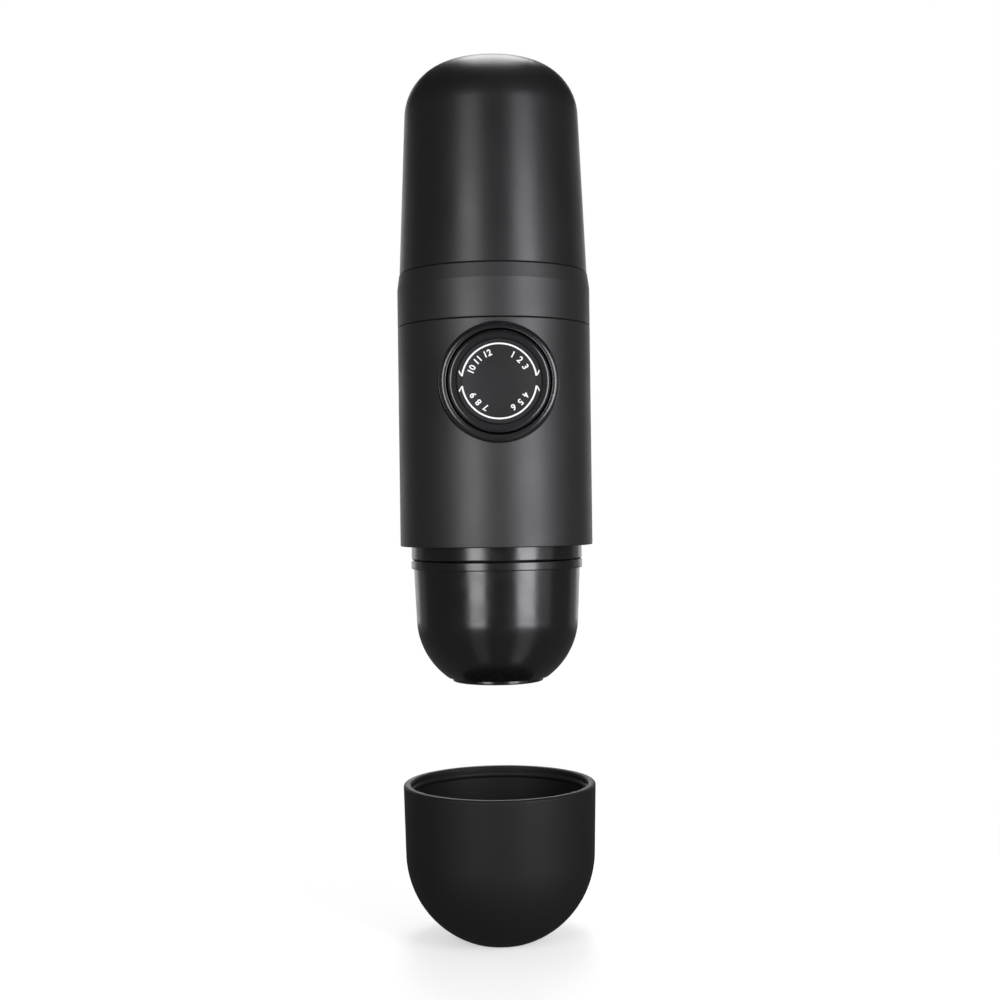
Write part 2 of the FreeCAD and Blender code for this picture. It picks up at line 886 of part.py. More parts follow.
def outlet_ball_height():
    return ball_height(D["pump_height"] - D["outlet_seat_edge"])


def make_ball(label, height):
    """Valve ball, closed against the seat above it."""
    ball = doc.addObject("Part::Sphere", label)
    ball.Label = label
    ball.setExpression("Radius", D["ball_radius"].text)
    ball.setExpression("Placement.Base.y", D["valve_offset"].text)
    ball.setExpression("Placement.Base.z", height.text)
    return ball


def make_valve_spring(label, bottom, ball):
    """Light spring that stands at bottom and holds the ball whose centre is at that height."""
    wire = D["valve_wire"]
    length = ball - D["ball_radius"] - bottom - wire * 2
    spring = coil(label, D["valve_spring_radius"], wire, length, D["valve_spring_turns"])
    spring.setExpression("Placement.Base.y", D["valve_offset"].text)
    spring.setExpression("Placement.Base.z", (bottom + wire).text)
    doc.recompute()
    return spring


def make_inlet_seat():
    """Bush pressed into the top of the inlet column, with the seat for the ball at its lower end."""
    body = new_body("inlet_seat")
    offset, port, bore = D["valve_offset"], D["valve_port"], D["valve_bore"]
    bottom, length = D["pump_height"] + D["inlet_seat_edge"], 5.5
    countersink, countersink_depth = 2.2, 1.5
    turned(body, [
        (offset + port, bottom),
        (offset + bore, bottom),
        (offset + bore, bottom + length),
        (offset + countersink, bottom + length),
        (offset + port, bottom + length - countersink_depth),
    ], "tall", offset=offset)
    return body


def make_outlet_retainer():
    """Hollow plug at the foot of the outlet column that carries the outlet spring."""
    body = new_body("outlet_retainer")
    offset, bore, hole = D["valve_offset"], D["valve_bore"], 1.0
    top = D["pump_height"] - D["retainer_top"]
    bottom = top - 4.0
    turned(body, [
        (offset + hole, bottom),
        (offset + bore, bottom),
        (offset + bore, top),
        (offset + hole, top),
    ], "tall", offset=offset)
    return body


def make_column_oring(label, height):
    """Ring in the groove of the pump's column, where it plugs into the part above or below."""
    ring = doc.addObject("Part::Torus", label)
    ring.Label = label
    ring.setExpression("Radius1", D["oring_radius"].text)
    ring.setExpression("Radius2", D["oring_wire"].text)
    ring.setExpression("Placement.Base.y", D["valve_offset"].text)
    ring.setExpression("Placement.Base.z", height.text)
    return ring


# ---- brew head, basket and outlet ------------------------------------------------------------------------

def make_brew_head():
    """Socket for the outlet head, water chamber above the screen, and the cradle that carries the pump."""
    body = new_body("brew_head")
    bottom, outer, bore = D["socket_bottom"], D["socket_radius"], D["socket_bore"]
    edge, bore_bevel = D["socket_edge"], 0.5
    flange = D["shell_radius"] - D["shell_wall"] - D["fit"]
    flange_bottom, flange_top, flange_wall = D["roof_top"] - 1.0, D["roof_top"] + 3.5, 3.0
    chamber, ceiling, roof = D["chamber_radius"], D["chamber_top"], D["roof_top"]
    gasket_top = D["thread_top"] + 3.8
    boss = 3.5
    turned(body, [
        (bore, bottom + bore_bevel),
        (bore + bore_bevel, bottom),
        (outer - edge, bottom, edge),
        (outer, bottom + edge),
        (outer, flange_bottom),
        (flange, flange_bottom),
        (flange, flange_top),
        (flange - flange_wall, flange_top),
        (flange - flange_wall, roof),
        (0, roof),
        (0, D["screen_seat"]),
        (boss, D["screen_seat"]),
        (boss, ceiling),
        (chamber, ceiling),
        (chamber, gasket_top),
        (bore, gasket_top),
    ], "tall")
    add_column_socket(body, roof, ceiling)
    screw_hole_top = ceiling + 3.0
    round_column(body, [(0, 0)], D["screen_screw_radius"], D["screen_seat"], screw_hole_top, cut=True)
    add_cradle(body, roof)
    return body


def add_column_socket(body, roof, ceiling):
    """Stub on the roof that takes the foot of the pump's column, with a hole down into the water chamber."""
    column = [(0, D["valve_offset"])]
    top = D["pump_height"] - 20.3
    floor = top - 4.2
    drain = 1.2
    round_column(body, column, D["column_radius"], roof, top)
    round_column(body, column, D["column_socket"], floor, top, cut=True)
    round_column(body, column, drain, ceiling, floor, cut=True)


def add_cradle(body, foot):
    """Two ribs that stand on the brew head and carry the pump cylinder, hollowed to its radius."""
    half_width, thickness, spacing, first = 11.5, 2.5, 8.0, 0.5
    top = D["pump_height"] - 3.0
    for back in (first + thickness, first + spacing + thickness):
        sketch = new_sketch(body, "XZ_Plane", offset=-back)
        draw_outline(sketch, [(-half_width, foot), (half_width, foot), (half_width, top), (-half_width, top)])
        extrude(body, sketch, Size(thickness), False)
    hollow = D["cylinder_radius"] + D["fit"] / 2
    reach = -(first + spacing + thickness + first)
    round_column(body, [(0, D["pump_height"])], hollow, reach, 0, cut=True, plane="XZ_Plane")


def make_head_gasket():
    """Square ring in the roof of the socket that the basket's rim is pressed against."""
    body = new_body("head_gasket")
    bottom = D["thread_top"] + 0.8
    inner, outer, height, bevel = 20.0, 24.0, 3.0, 0.3
    turned(body, [
        (inner, bottom + bevel),
        (inner + bevel, bottom),
        (outer - bevel, bottom),
        (outer, bottom + bevel),
        (outer, bottom + height),
        (inner, bottom + height),
    ], "tall")
    return body


def make_shower_screen():
    """Perforated dish that spreads the water over the coffee."""
    body = new_body("shower_screen")
    top, metal = D["screen_seat"], D["sheet_metal"]
    radius = D["chamber_radius"] - D["fit"]
    screw_hole, bevel, wall_rise, margin, rings = 1.3, 0.4, 1.6, 2.0, 4
    turned(body, [
        (screw_hole, top - metal),
        (radius - bevel, top - metal),
        (radius, top - metal + bevel),
        (radius, top + wall_rise),
        (radius - metal, top + wall_rise),
        (radius - metal, top),
        (screw_hole, top),
    ], "tall")
    holes = hex_places(rings, D["screen_pitch"].value, skip_centre=True)
    inside = [place for place in holes if math.hypot(*place) < radius.value - margin]
    round_column(body, inside, D["screen_hole"], top - metal, top, cut=True)
    return body


def make_screen_screw():
    """Screw that holds the screen against the boss in the chamber's roof."""
    body = new_body("screen_screw")
    top = D["screen_seat"] - D["sheet_metal"]
    shank, shank_length = D["screen_screw_radius"], 5.5
    head, head_height, head_bevel = 2.7, 1.2, 0.5
    drive, drive_depth = 1.1, 0.6
    turned(body, [
        (0, top - head_height + drive_depth),
        (drive, top - head_height + drive_depth),
        (drive, top - head_height),
        (head - head_bevel, top - head_height),
        (head, top - head_height + head_bevel),
        (head, top),
        (shank, top),
        (shank, top + shank_length),
        (0, top + shank_length),
    ], "tall")
    return body


def make_filter_basket():
    """Pressed metal basket: a rim that rests on the head, tapered wall, rounded foot and perforated floor."""
    body = new_body("filter_basket")
    metal, floor = D["sheet_metal"], D["basket_floor"]
    rim, wall = D["basket_rim"], D["basket_radius"]
    rest = D["thread_top"] + D["fit"]
    taper, foot_round, inner_round = 0.8, 1.6, 1.1
    foot = wall - taper
    inner_foot, inner_wall = foot - metal, wall - metal + 0.2
    rings = 4
    turned(body, [
        (0, floor),
        (foot - foot_round, floor, foot_round),
        (foot, floor + foot_round),
        (wall, rest),
        (rim, rest),
        (rim, rest + metal),
        (inner_wall, rest + metal),
        (inner_foot, floor + metal + inner_round, -inner_round),
        (inner_foot - inner_round, floor + metal),
        (0, floor + metal),
    ], "tall")
    holes = hex_places(rings, D["basket_pitch"].value)
    round_column(body, holes, D["basket_hole"], floor, floor + metal, cut=True)
    return body


def make_outlet_funnel():
    """Funnel under the basket that leads the coffee into the spout."""
    body = new_body("outlet_funnel")
    spout, bore, bottom = D["spout_radius"], 2.4, D["spout_bottom"]
    rest = D["basket_floor"] - 2.4
    rim, rim_height, rim_inner, cone_foot = D["head_bore"] - D["fit"] * 2, 1.6, 19.0, 19.6
    spout_top, throat = bottom + 8.6, bottom + 9.8
    shoulder, shoulder_height = 5.6, bottom + 10.2
    cone_inner, cone_height = 3.6, bottom + 11.4
    turned(body, [
        (bore, bottom),
        (spout, bottom),
        (spout, spout_top),
        (shoulder, shoulder_height),
        (cone_foot, rest),
        (rim, rest),
        (rim, rest + rim_height),
        (rim_inner, rest + rim_height),
        (cone_inner, cone_height),
        (bore, throat),
    ], "tall")
    return body


def make_crema_valve():
    """Soft nozzle pushed over the end of the spout."""
    body = new_body("crema_valve")
    spout, bottom = D["spout_radius"], D["spout_bottom"]
    outer, sleeve, edge = 5.8, bottom + 5.0, 0.4
    tip, tip_radius, cone_top = bottom - 4.5, 2.6, bottom - 0.6
    hole, funnel, funnel_foot = 0.8, 1.8, bottom - 1.6
    turned(body, [
        (hole, tip),
        (tip_radius, tip),
        (outer, cone_top),
        (outer, sleeve - edge),
        (outer - edge, sleeve),
        (spout, sleeve),
        (spout, bottom),
        (funnel, bottom),
        (hole, funnel_foot),
    ], "tall")
    return body


def make_outlet_head():
    """Glossy bowl with an open mouth, a ledge for the funnel, a grip band and a threaded collar above."""
    body = new_body("outlet_head")
    centre = D["bowl_radius"] - D["bowl_arc"]
    inner_arc = D["bowl_arc"] - D["bowl_wall"]
    end_radius = centre + leg(D["bowl_arc"], D["bowl_arc_height"] - D["bowl_end"])
    mouth, lip, lip_bottom = D["mouth_radius"], D["lip_radius"], D["lip_bottom"]
    mouth_height = D["bowl_arc_height"] - leg(inner_arc, mouth - centre)
    mouth_bevel, lip_round, groove, thread_bevel = 0.3, 0.4, 0.4, 0.5
    bore, thread, thread_top = D["head_bore"], D["thread_radius"], D["thread_top"]
    band, low, high, edge = D["band_radius"], D["band_bottom"], D["band_top"], D["edge_break"]
    inner_wall = D["bowl_radius"] - D["bowl_wall"]
    ledge, ledge_width, ledge_thickness, ramp, draft = D["basket_floor"] - 2.5, 1.5, 1.2, 2.4, 0.2
    turned(body, [
        (mouth, lip_bottom + mouth_bevel),
        (mouth + mouth_bevel, lip_bottom),
        (lip - lip_round, lip_bottom, lip_round),
        (lip, lip_bottom + lip_round),
        (lip, D["bowl_end"]),
        (end_radius, D["bowl_end"], D["bowl_arc"]),
        (D["bowl_radius"], D["bowl_arc_height"]),
        (D["bowl_top_radius"], low - groove),
        (D["bowl_top_radius"], low),
        (band - edge, low, edge),
        (band, low + edge),
        (band, high - edge, edge),
        (band - edge, high),
        (thread, high),
        (thread, thread_top - thread_bevel),
        (thread - thread_bevel, thread_top),
        (bore, thread_top),
        (bore, ledge),
        (bore - ledge_width, ledge),
        (bore - ledge_width, ledge - ledge_thickness),
        (inner_wall + draft, ledge - ledge_thickness - ramp),
        (inner_wall, D["bowl_arc_height"], -inner_arc),
        (mouth, mouth_height),
    ], "tall")
    return body


# ---- cup -------------------------------------------------------------------------------------------------

def make_cup():
    """Round-bottomed cup with a small flat foot, and a bead inside the rim that snaps over the brew head."""
    body = new_body("cup")
    ball, foot, wall = D["cup_ball_radius"], D["cup_foot_radius"], D["cup_wall"]
    equator = leg(ball, foot)
    inner, floor = ball - wall, wall
    floor_radius = leg(inner, equator - floor)
    rim, height, rim_round = D["cup_rim_radius"], D["cup_height"], D["cup_rim_round"]
    mouth = rim - wall
    bead_top = height - rim_round - D["cup_bead"]
    turned(body, [
        (0, 0),
        (foot, 0, ball),
        (ball, equator),
        (rim, height - rim_round, rim_round),
        (rim - rim_round, height),
        (mouth + rim_round, height, rim_round),
        (mouth, height - rim_round),
        (mouth, bead_top, D["cup_bead"]),
        (mouth, bead_top - D["cup_bead_height"]),
        (inner, equator, -inner),
        (floor_radius, floor),
        (0, floor),
    ], "tall")
    return body


# ---- whole model -----------------------------------------------------------------------------------------

def make_all():
    pump = D["pump_height"]
    return [
        make_tank(),
        make_tank_seal(),
        make_collar(),
        make_tank_spigot(),
        make_inlet_filter(),
        make_air_valve(),
        make_body_shell(),
        make_knob_bezel(),
        make_push_knob(),
        make_knob_face(),
        make_knob_screw(),
        make_piston(),
        make_piston_seals(),
        make_return_spring(),
        make_pump_body(),
        make_bezel_screws(),
        make_inlet_seat(),
        make_ball("inlet_ball", inlet_ball_height()),
        make_valve_spring("inlet_spring", pump + D["inlet_chamber_foot"], inlet_ball_height()),
        make_column_oring("inlet_oring", pump + D["upper_oring"]),
        make_ball("outlet_ball", outlet_ball_height()),
        make_valve_spring("outlet_spring", pump - D["retainer_top"], outlet_ball_height()),
        make_outlet_retainer(),
        make_column_oring("outlet_oring", pump - D["lower_oring"]),
        make_brew_head(),
        make_head_gasket(),
        make_shower_screen(),
        make_screen_screw(),
        make_filter_basket(),
        make_outlet_funnel(),
        make_crema_valve(),
        make_outlet_head(),
        make_cup(),
    ]


def check_document(parts):
    """Stop if any object is in error or any part has no valid shape."""
    doc.recompute()
    for item in doc.Objects:
        if {"Invalid", "Error"} & set(item.State):
            raise SystemExit(f"{item.Label} is {item.State}")
    for part in parts:
        if part.Shape.isNull() or not part.Shape.isValid():
            raise SystemExit(f"{part.Label} has no valid shape")


def write_parts(parts):
    """One STEP file per part, in place, and a line that says what it holds."""
    os.makedirs(PARTS, exist_ok=True)
    for part in parts:
        part.Shape.exportStep(os.path.join(PARTS, f"{part.Label}.step"))
        box = part.Shape.BoundBox
        print(f"{part.Label:16s} {len(part.Shape.Solids)} solid(s) {part.Shape.Volume / 1000:8.3f} cm3 "
              f"z {box.ZMin:7.2f} to {box.ZMax:7.2f}")


espresso_maker = make_all()
check_document(espresso_maker)
write_parts(espresso_maker)
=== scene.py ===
"""Looks of the hand-held espresso maker: finishes, threads, knob print, springs, studio and camera.

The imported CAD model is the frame. Sizes here are in millimetres and become metres in the mesh makers.
The maker's long axis is Z, the knob faces -Y and the cup stands on the floor at z = 0.
"""
import math
from collections import namedtuple

import bpy
from mathutils import Matrix, Vector


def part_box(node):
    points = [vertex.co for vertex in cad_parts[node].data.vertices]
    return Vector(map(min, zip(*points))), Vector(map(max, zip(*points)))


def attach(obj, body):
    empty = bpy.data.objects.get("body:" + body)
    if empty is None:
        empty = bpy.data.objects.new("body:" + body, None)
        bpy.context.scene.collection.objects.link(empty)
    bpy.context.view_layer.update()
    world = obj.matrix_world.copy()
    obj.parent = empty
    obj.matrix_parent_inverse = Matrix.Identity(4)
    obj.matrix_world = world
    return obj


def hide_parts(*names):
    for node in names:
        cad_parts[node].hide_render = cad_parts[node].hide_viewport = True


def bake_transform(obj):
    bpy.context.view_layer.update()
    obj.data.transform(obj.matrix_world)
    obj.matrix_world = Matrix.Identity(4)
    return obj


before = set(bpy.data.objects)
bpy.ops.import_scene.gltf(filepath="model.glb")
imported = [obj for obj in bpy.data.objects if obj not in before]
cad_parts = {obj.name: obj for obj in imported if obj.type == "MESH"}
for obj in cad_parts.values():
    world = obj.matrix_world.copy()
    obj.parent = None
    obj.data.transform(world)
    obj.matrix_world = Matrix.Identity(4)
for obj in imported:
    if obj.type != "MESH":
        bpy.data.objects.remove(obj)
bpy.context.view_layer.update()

MM = 0.001
FULL_TURN = 2 * math.pi
RIGHT = Vector((1, 0, 0))
BACK = Vector((0, 1, 0))
UP = Vector((0, 0, 1))
WAVE_PERIOD = math.pi / 10  # width of one wave in a wave texture of scale 1

# ---- camera, fitted to the photograph's frame of 1000 x 1000 pixels --------------------------------------
IMAGE_SIZE = 1000
PIXELS_PER_MM = 3.09
CAMERA_DISTANCE = 480.0
CAMERA_HEIGHT = 141.5
CAMERA_AZIMUTH = math.radians(-2.6)
CAMERA_ROLL = math.radians(-0.75)
AIM_RIGHT = 1.3
SENSOR = 36.0

# ---- pump knob and its print -----------------------------------------------------------------------------
PUMP_HEIGHT = 177.3
PRINT_RADIUS = 11.3
PRINT_STROKE = 0.5
PRINT_LIFT = 0.02
PRINT_GAP = math.radians(7.5)
PRINT_STEPS = 96
BEFORE_KNOB = -100.0
BARB_ANGLE = math.radians(8.0)
BARB_WIDTH = math.radians(2.6)
BARB_HEIGHT = 0.95
NUMBER_RADIUS = 8.9
NUMBER_HEIGHT = 2.0
NUMBER_STEP = math.radians(17)
WIDE_NUMBER_STEP = math.radians(22)
NUMBER_SWELL = 0.06
FONT_SIZE_PER_HEIGHT = 1.35

# ---- threads: a span is the lowest and the highest middle of a ridge -------------------------------------
THREAD_LEAD = 10.0
THREAD_STARTS = 3
RIDGE_ROOT_WIDTH = 1.25
RIDGE_CREST_WIDTH = 0.5
RIDGE_SINK = 0.15
RIDGE_CORNERS = 4
RIDGE_STEPS = 72
RIDGE_FADE = 0.1  # the share of its length over which a ridge rises at each end
OUTER_RIDGE = 0.65
INNER_RIDGE = 0.6
TANK_NECK_RADIUS = 26.6
TANK_BORE_RADIUS = 27.6
TANK_THREAD_SPAN = (215.4, 221.4)
HEAD_NECK_RADIUS = 23.6
HEAD_NECK_SPAN = (123.8, 130.4)
SOCKET_BORE_RADIUS = 24.7
SOCKET_SPAN = (124.4, 131.0)

# ---- springs ---------------------------------------------------------------------------------------------
Coil = namedtuple("Coil", "radius wire turns")
PUMP_COIL = Coil(radius=11.2, wire=0.65, turns=6.5)
VALVE_COIL = Coil(radius=1.7, wire=0.25, turns=3.5)
CLOSED_TURNS = 0.75
COIL_STEPS = 36  # sections in one turn of the wire
WIRE_SIDES = 10

# ---- studio: radiance and grey are on the scale on which 1 is white --------------------------------------
AMBIENT = 0.16
FLOOR_GREY = 0.8
FLOOR_GLOW = 0.5
FLOOR_NEAR = 70.0
FLOOR_FAR = 260.0
FLOOR_REACH = 4000.0
ROOM_RADIUS = 1500.0
ROOM_HEIGHT = 140.0
ROOM_ROWS = 24
ROOM_COLUMNS = 48
ROOM_OPENING = 0.82  # the dome is left open further back than this share of its radius
# glow of the painted reflection of dim surroundings, darker up towards its top
ROOM_REFLECTION_GREY = 0.10
CEILING_REFLECTION_GREY = 0.02
CEILING_START = 500.0
CEILING_END = 1200.0
# painted reflections of the soft boxes' streaks on a table, glowing just under the floor
PAINTED_STREAK_NEAR = 60.0
PAINTED_STREAK_FAR = 480.0
PAINTED_STREAK_DEPTH = 2.0
BOX_DISTANCE = 500.0
BOX_BOTTOM = 12.0
BOX_TOP = 405.0
BACK_BOX_BOTTOM = 60.0
BACK_BOX_TOP = 480.0
LEFT_AZIMUTH = -29.5
RIGHT_AZIMUTH = 37.3
FILL_AZIMUTH = 60.0
RIM_AZIMUTH = 135.0
BACK_AZIMUTH = 180.0
NO_TINT = (1.0, 1.0, 1.0)
RIGHT_TINT = (0.955, 0.95, 1.0)
TOP_BOX_PLACE = Vector((18.0, 190.0, 679.0))
TOP_BOX_TARGET = Vector((0.0, 0.0, 281.5))


# ---- node trees ------------------------------------------------------------------------------------------

def rgba(red, green, blue):
    return (red, green, blue, 1.0)


def shade(colour, factor):
    """The colour made darker or lighter by that factor."""
    return tuple(channel * factor for channel in colour[:3]) + (1.0,)


def even(level):
    """The neutral colour of that level, from 0 for black to 1 for white."""
    return rgba(level, level, level)


class Finish:
    """One material under construction, with short forms for adding nodes to its tree."""

    def __init__(self, name):
        self.material = bpy.data.materials.new(name)
        self.material.use_nodes = True
        self.tree = self.material.node_tree
        self.shader = self.tree.nodes["Principled BSDF"]
        self.place = self.add("ShaderNodeTexCoord").outputs["Object"]

    def add(self, kind, inputs=None, **settings):
        """A new node; its inputs are given by name or number, and each is a value or what to link to it."""
        node = self.tree.nodes.new(kind)
        for name, value in settings.items():
            setattr(node, name, value)
        for name, value in (inputs or {}).items():
            self.feed(node.inputs[name], value)
        return node

    def feed(self, socket, value):
        """Link a node's output to the socket, or set the socket's value."""
        if isinstance(value, bpy.types.NodeSocket):
            self.tree.links.new(value, socket)
        else:
            socket.default_value = value

    def set(self, **values):
        """Set or link the shader's sockets; an underscore in a name stands for a space."""
        for name, value in values.items():
            self.feed(self.shader.inputs[name.replace("_", " ")], value)

    def noise(self, size, detail=2.0, roughness=0.5, place=None):
        """Noise between 0 and 1 whose features are about size millimetres across."""
        return self.add("ShaderNodeTexNoise", {
            "Vector": place or self.place, "Scale": 1 / (size * MM), "Detail": detail, "Roughness": roughness,
        }).outputs["Fac"]

    def spread(self, value, low, high, from_low=0.3, from_high=0.7, easing="LINEAR"):
        """Map a noise's usual range, or another, onto low to high."""
        return self.add("ShaderNodeMapRange", {
            "Value": value, "From Min": from_low, "From Max": from_high, "To Min": low, "To Max": high,
        }, interpolation_type=easing).outputs["Result"]

    def ramp(self, value, low, high, from_low, from_high):
        """Map a range onto low to high with a soft start and end."""
        return self.spread(value, low, high, from_low, from_high, easing="SMOOTHSTEP")

    def product(self, first, second):
        """The two values multiplied."""
        return self.add("ShaderNodeMath", {0: first, 1: second}, operation="MULTIPLY").outputs["Value"]

    def glow(self, strength):
        """White light given off by the surface."""
        return self.add("ShaderNodeEmission", {"Color": even(1.0), "Strength": strength}).outputs["Emission"]

    def show(self, shader):
        """Let the surface be that shader in place of the plain one."""
        self.feed(self.tree.nodes["Material Output"].inputs["Surface"], shader)

    def blend(self, factor, first, second):
        """A colour that is the first at factor 0 and the second at 1."""
        node = self.add("ShaderNodeMix", {"Factor": factor}, data_type="RGBA")
        self.feed(node.inputs["A"], first)
        self.feed(node.inputs["B"], second)
        return node.outputs["Result"]

    def bump(self, height, depth, under=None):
        """A normal that moves the surface by about depth millimetres."""
        inputs = {"Height": height, "Distance": depth * MM, "Strength": 1.0}
        if under is not None:
            inputs["Normal"] = under
        return self.add("ShaderNodeBump", inputs).outputs["Normal"]


def moulded_plastic(name, colour, roughness, specular, grain_depth, grain_size=0.22, smudge=0.03,
                    faceted=False):
    """Injection-moulded plastic: spark-eroded grain, a change of sheen where hands have been, faint dust.

    The grain stands on the mesh's smooth normals, or on those of its facets."""
    finish = Finish(name)
    under = finish.add("ShaderNodeNewGeometry").outputs["True Normal"] if faceted else None
    grain = finish.noise(grain_size, detail=3.0, roughness=0.6)
    handling = finish.noise(14.0, detail=4.0)
    flow = finish.noise(45.0, detail=1.0)
    tint = finish.spread(flow, 0.0, 1.0)
    base = finish.blend(tint, shade(colour, 0.88), shade(colour, 1.12))
    dust = finish.spread(finish.noise(0.9, detail=1.0), 0.0, 0.25, 0.72, 0.80)
    finish.set(
        Base_Color=finish.blend(dust, base, shade(colour, 2.2)),
        Roughness=finish.spread(handling, roughness - smudge, roughness + smudge),
        Specular_IOR_Level=specular,
        Normal=finish.bump(grain, grain_depth, under),
    )
    return finish.material


def polished_plastic(name, colour, roughness, specular):
    """Gloss moulding: slow waviness of the wall, hairline scratches and a touch of fingerprint haze."""
    finish = Finish(name)
    wave = finish.noise(9.0, detail=1.0)
    haze = finish.noise(5.0, detail=5.0, roughness=0.65)
    flattened = {"Vector": finish.place, "Scale": (1.0, 1.0, 14.0)}
    around = finish.add("ShaderNodeMapping", flattened).outputs["Vector"]
    scratches = finish.noise(3.0, detail=6.0, roughness=0.8, place=around)
    marks = finish.spread(scratches, 0.0, 1.0, 0.66, 0.70)
    flow = finish.spread(finish.noise(40.0, detail=1.0), 0.0, 1.0)
    finish.set(
        Base_Color=finish.blend(flow, shade(colour, 0.9), shade(colour, 1.1)),
        Roughness=finish.spread(haze, roughness - 0.03, roughness + 0.06),
        Specular_IOR_Level=specular,
        Normal=finish.bump(marks, 0.001, finish.bump(wave, 0.02)),
    )
    return finish.material


def turned_steel(name, colour, roughness, ring_size, direction):
    """Stainless steel with fine rings from spinning or turning, ring_size millimetres apart.

    Direction is the axis of the rings, or SPHERICAL for rings round a whole spun bowl."""
    finish = Finish(name)
    rings = finish.add("ShaderNodeTexWave", {
        "Vector": finish.place, "Scale": WAVE_PERIOD / (ring_size * MM), "Distortion": 0.6, "Detail": 2.0,
    }, wave_type="RINGS", rings_direction=direction).outputs["Fac"]
    handled = finish.noise(12.0, detail=0.0)
    finish.set(
        Base_Color=finish.blend(handled, shade(colour, 0.9), colour),
        Metallic=1.0,
        Roughness=finish.spread(handled, roughness - 0.03, roughness + 0.04, 0.0, 1.0),
        Normal=finish.bump(rings, 0.003),
    )
    return finish.material


def drawn_wire(name, colour, roughness):
    """Spring wire: bright metal with short drawing marks and darker blotches."""
    finish = Finish(name)
    marks = finish.noise(0.12, detail=3.0)
    blotch = finish.spread(finish.noise(2.5, detail=3.0), 0.0, 1.0)
    finish.set(
        Base_Color=finish.blend(blotch, shade(colour, 0.7), colour),
        Metallic=1.0,
        Roughness=finish.spread(marks, roughness - 0.06, roughness + 0.08),
        Normal=finish.bump(marks, 0.004),
    )
    return finish.material


def silicone_rubber(name, colour, roughness):
    """Soft seal: matt, with fine pores and lint."""
    finish = Finish(name)
    pores = finish.noise(0.35, detail=3.0, roughness=0.7)
    lint = finish.spread(finish.noise(1.6, detail=5.0, roughness=0.8), 0.0, 0.35, 0.66, 0.74)
    finish.set(
        Base_Color=finish.blend(lint, colour, shade(colour, 2.4)),
        Roughness=finish.spread(pores, roughness - 0.05, roughness + 0.1),
        Specular_IOR_Level=0.4,
        Sheen_Weight=0.15,
        Sheen_Roughness=0.4,
        Normal=finish.bump(pores, 0.01),
    )
    return finish.material


def printed_ink(name, colour):
    """Pad-printed ink: nearly opaque, slightly uneven at its edge of coverage."""
    finish = Finish(name)
    cover = finish.noise(0.35, detail=3.0, roughness=0.6)
    finish.set(
        Base_Color=finish.blend(finish.spread(cover, 0.0, 0.22), colour, shade(colour, 0.55)),
        Roughness=finish.spread(cover, 0.38, 0.5),
        Specular_IOR_Level=0.4,
        Normal=finish.bump(cover, 0.004),
    )
    return finish.material


BODY_COLOUR = rgba(0.0100, 0.0100, 0.0107)
CUP_COLOUR = rgba(0.0085, 0.0085, 0.0091)
KNOB_COLOUR = rgba(0.0110, 0.0112, 0.0122)
GLOSS_COLOUR = rgba(0.0055, 0.0055, 0.0062)

FINISHES = {
    "tank_black": moulded_plastic("matte_black_tank", BODY_COLOUR, 0.35, specular=0.5, grain_depth=0.006),
    "matte_black": moulded_plastic("matte_black_shell", BODY_COLOUR, 0.46, specular=0.72, grain_depth=0.008),
    "soft_black": moulded_plastic("matte_black_cup", CUP_COLOUR, 0.58, specular=0.30, grain_depth=0.012,
                                  grain_size=0.26, smudge=0.04),
    "knob_black": moulded_plastic("satin_black_knob", KNOB_COLOUR, 0.21, specular=0.8, grain_depth=0.003,
                                  grain_size=0.20),
    "face_black": moulded_plastic("smooth_black_face", KNOB_COLOUR, 0.40, specular=0.45, grain_depth=0.003,
                                  grain_size=0.20, faceted=True),
    "gloss_black": polished_plastic("gloss_black_head", GLOSS_COLOUR, 0.21, specular=0.78),
    "inner_plastic": moulded_plastic("inner_moulding", rgba(0.55, 0.56, 0.56), 0.40, specular=0.5,
                                     grain_depth=0.006, grain_size=0.4, smudge=0.05),
    "silicone": silicone_rubber("seal_silicone", rgba(0.16, 0.16, 0.165), 0.55),
    "spun_steel": turned_steel("spun_steel", rgba(0.56, 0.56, 0.55), 0.38, ring_size=0.8,
                               direction="SPHERICAL"),
    "turned_steel": turned_steel("turned_steel", rgba(0.62, 0.62, 0.61), 0.22, ring_size=0.12,
                                 direction="Y"),
    "spring_wire": drawn_wire("spring_wire", rgba(0.55, 0.55, 0.54), 0.25),
    "white_ink": printed_ink("white_ink", even(0.86)),
}

NODE_FINISHES = {
    "tank": "tank_black", "collar": "matte_black", "body_shell": "matte_black", "cup": "soft_black",
    "knob_bezel": "knob_black", "push_knob": "knob_black", "knob_face": "face_black",
    "outlet_head": "gloss_black", "brew_head": "gloss_black",
    "outlet_funnel": "gloss_black", "crema_valve": "silicone",
    "tank_spigot": "inner_plastic", "pump_body": "inner_plastic", "piston": "inner_plastic",
    "inlet_seat": "inner_plastic", "outlet_retainer": "inner_plastic",
    "tank_seal": "silicone", "air_valve": "silicone", "piston_seals": "silicone", "head_gasket": "silicone",
    "inlet_oring": "silicone", "outlet_oring": "silicone",
    "filter_basket": "spun_steel", "shower_screen": "spun_steel", "screen_screw": "spun_steel",
    "inlet_filter": "spun_steel", "inlet_ball": "spun_steel", "outlet_ball": "spun_steel",
    "knob_screw": "turned_steel", "bezel_screws": "turned_steel",
    "return_spring": "spring_wire", "inlet_spring": "spring_wire", "outlet_spring": "spring_wire",
}


def dress(obj, finish):
    """Give an object that finish as its only material."""
    obj.data.materials.clear()
    obj.data.materials.append(FINISHES[finish])


def dress_nodes():
    """Give each node of the CAD model its finish."""
    for node, finish in NODE_FINISHES.items():
        dress(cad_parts[node], finish)


# ---- mesh makers -----------------------------------------------------------------------------------------

def add_object(name, data):
    """A new object in the scene for a mesh, text, lamp or camera."""
    obj = bpy.data.objects.new(name, data)
    bpy.context.scene.collection.objects.link(obj)
    return obj


